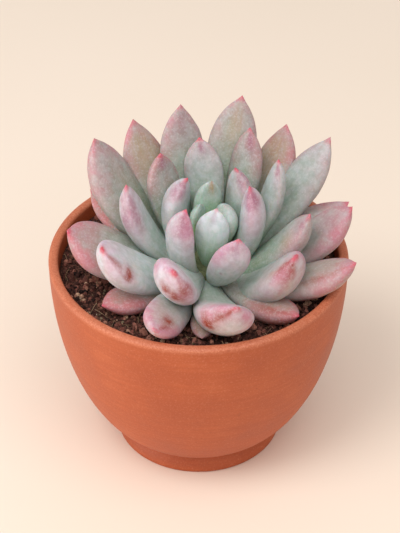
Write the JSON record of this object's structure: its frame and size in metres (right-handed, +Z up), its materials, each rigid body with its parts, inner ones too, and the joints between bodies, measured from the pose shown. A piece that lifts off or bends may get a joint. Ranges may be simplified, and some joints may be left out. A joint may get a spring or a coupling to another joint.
{
  "type": "potted succulent",
  "caption": "Rosette succulent with thick pointed leaves, growing in potting mix in a footed terracotta bowl that stands on its foot ring.",
  "frame": {"origin": "on the pot's axis, in the plane that its foot ring stands on", "axes": "+Z up along the pot's axis; -Y towards the side that is seen from the front; +X to that side's right"},
  "size_m": [0.1205, 0.12, 0.1376],
  "materials": {
    "terracotta": "matte",
    "potting_mix": "matte",
    "stem": "matte",
    "leaf": "satin",
    "young_leaf": "satin",
    "low_leaf": "satin"
  },
  "bodies": {
    "root": {"leaf_heart_01": "young_leaf", "leaf_heart_02": "young_leaf", "leaf_heart_03": "young_leaf", "leaf_heart_04": "young_leaf", "leaf_inner_01": "leaf", "leaf_inner_02": "leaf", "leaf_inner_03": "leaf", "leaf_inner_04": "leaf", "leaf_low_01": "low_leaf", "leaf_low_02": "low_leaf", "leaf_low_03": "low_leaf", "leaf_low_04": "low_leaf", "leaf_low_05": "low_leaf", "leaf_low_06": "low_leaf", "leaf_low_07": "low_leaf", "leaf_low_08": "low_leaf", "leaf_low_09": "low_leaf", "leaf_low_10": "low_leaf", "leaf_low_11": "low_leaf", "leaf_low_12": "low_leaf", "leaf_middle_01": "leaf", "leaf_middle_02": "leaf", "leaf_middle_03": "leaf", "leaf_middle_04": "leaf", "leaf_middle_05": "leaf", "leaf_middle_06": "leaf", "leaf_outer_01": "leaf", "leaf_outer_02": "leaf", "leaf_outer_03": "leaf", "leaf_outer_04": "leaf", "leaf_outer_05": "leaf", "leaf_outer_06": "leaf", "leaf_outer_07": "leaf", "leaf_outer_08": "leaf", "leaf_outer_09": "leaf", "leaf_outer_10": "leaf", "leaf_outer_11": "leaf", "leaf_outer_12": "leaf", "pot": "terracotta", "soil": "potting_mix", "stem": "stem"}
  },
  "joints": []
}
